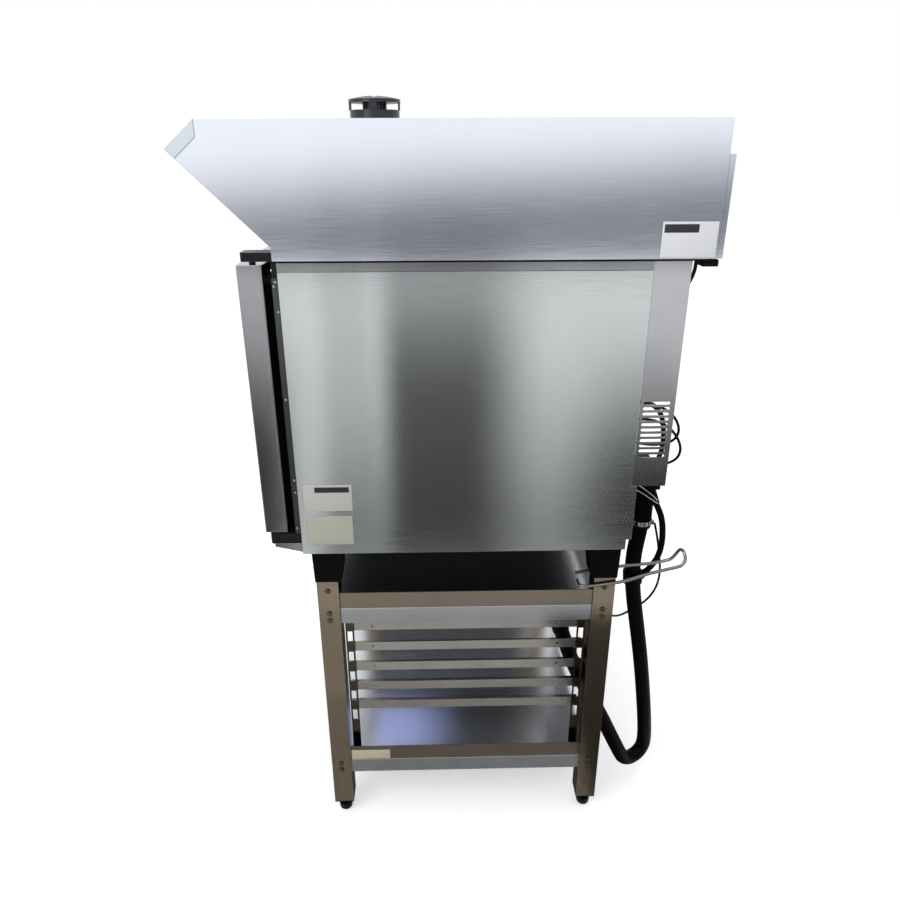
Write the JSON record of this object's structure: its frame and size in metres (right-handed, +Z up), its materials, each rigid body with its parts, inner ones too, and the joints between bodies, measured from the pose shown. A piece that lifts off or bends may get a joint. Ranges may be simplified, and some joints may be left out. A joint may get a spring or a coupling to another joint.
{
  "type": "combi oven on stand",
  "caption": "Electric combi steam oven with a condensation hood, hinged glass door and side controls, on an open steel stand with tray runners and a drain hose.",
  "frame": {"origin": "on the floor, under the middle of the object's box without its hoses and leads", "axes": "+X to the oven's right, -Y to its front (the door), +Z up"},
  "size_m": [1.0714, 1.1779, 1.9429],
  "materials": {
    "stand_steel": "brushed stainless square tube, warm grey",
    "beam_steel": "brushed stainless sheet",
    "runner_steel": "folded stainless sheet",
    "bolt_steel": "bright stainless",
    "case_steel": "brushed stainless sheet",
    "door_steel": "brushed stainless frame",
    "hood_steel": "fine brushed stainless sheet",
    "cavity_steel": "bright stainless",
    "heater_steel": "heat-darkened tube",
    "motor_paint": "satin black enamel",
    "black_metal": "black enamel",
    "black_plastic": "matt black moulding",
    "black_rubber": "black rubber",
    "wool": "mineral wool",
    "board": "green board",
    "panel_black": "gloss black panel",
    "screen": "dark screen glass",
    "knob": "satin ring",
    "key": "grey key",
    "door_glass": "dark tinted glass"
  },
  "bodies": {
    "oven": {"stand_legs": "stand_steel", "stand_feet": "black_plastic", "stand_top_beams": "beam_steel", "stand_low_beams": "beam_steel", "stand_deck": "beam_steel", "stand_shelf": "beam_steel", "stand_rims": "stand_steel", "runner_uprights": "stand_steel", "tray_runners": "runner_steel", "stand_bolts": "bolt_steel", "wire_hook": "bolt_steel", "oven_feet": "black_plastic", "base_pan": "case_steel", "side_panel_right": "case_steel", "side_panel_left": "case_steel", "top_panel": "case_steel", "rear_panel": "case_steel", "rear_wings": "case_steel", "front_frame": "case_steel", "door_gasket": "black_rubber", "cavity_liner": "cavity_steel", "insulation": "wool", "air_baffle": "cavity_steel", "fan_motor": "motor_paint", "heating_element": "heater_steel", "hanging_racks": "cavity_steel", "steam_generator": "cavity_steel", "electronics_board": "board", "control_panel": "panel_black", "display_glass": "screen", "door_catch": "bolt_steel", "hinge_brackets": "black_metal", "drip_tray": "case_steel", "hood_canopy": "hood_steel", "hood_lip": "hood_steel", "hood_floor": "black_metal", "hood_rear_cover": "hood_steel", "grease_filters": "cavity_steel", "hood_fan_motor": "motor_paint", "vent_pipe": "cavity_steel", "vent_cap": "black_plastic", "terminal_box": "black_plastic", "drain_boot": "black_rubber", "hose_clamp": "bolt_steel", "hose_fittings": "black_plastic", "drain_hose": "black_rubber", "condensate_hose": "black_rubber", "bonding_lead": "black_rubber", "rear_leads": "black_rubber"},
    "door": {"door_shell": "door_steel", "door_outer_glass": "door_glass", "door_inner_glass": "door_glass"},
    "handle": {"door_handle": "black_plastic", "door_latch": "bolt_steel"},
    "cooking_fan": {"fan_wheel": "cavity_steel"},
    "hood_fan": {"hood_fan_wheel": "cavity_steel"},
    "dial": {"control_dial": "knob"},
    "left_key": {"key_left": "key"},
    "right_key": {"key_right": "key"},
    "power": {"power_button": "key"}
  },
  "joints": [
    {"name": "door_swing", "type": "hinge", "parent": "oven", "child": "door", "pos_m": [0.508, -0.437, 1.2795], "axis": [0, 0, 1], "range_deg": [0, 130]},
    {"name": "handle_turn", "type": "hinge", "parent": "door", "child": "handle", "pos_m": [-0.251, -0.441, 1.29], "axis": [0, -1, 0], "range_deg": [0, 60]},
    {"name": "cooking_fan_spin", "type": "hinge", "parent": "oven", "child": "cooking_fan", "pos_m": [-0.27, -0.034, 1.246], "axis": [1, 0, 0], "continuous": true},
    {"name": "hood_fan_spin", "type": "hinge", "parent": "oven", "child": "hood_fan", "pos_m": [-0.23, 0.178, 1.73], "axis": [0, 0, 1], "continuous": true},
    {"name": "dial_turn", "type": "hinge", "parent": "oven", "child": "dial", "pos_m": [-0.41225, -0.422, 1.209], "axis": [0, -1, 0], "continuous": true},
    {"name": "left_key_press", "type": "slide", "parent": "oven", "child": "left_key", "axis": [0, 1, 0], "range_m": [0, 0.0025], "stiffness_N_per_m": 400},
    {"name": "right_key_press", "type": "slide", "parent": "oven", "child": "right_key", "axis": [0, 1, 0], "range_m": [0, 0.0025], "stiffness_N_per_m": 400},
    {"name": "power_press", "type": "slide", "parent": "oven", "child": "power", "axis": [0, 1, 0], "range_m": [0, 0.0025], "stiffness_N_per_m": 400}
  ]
}
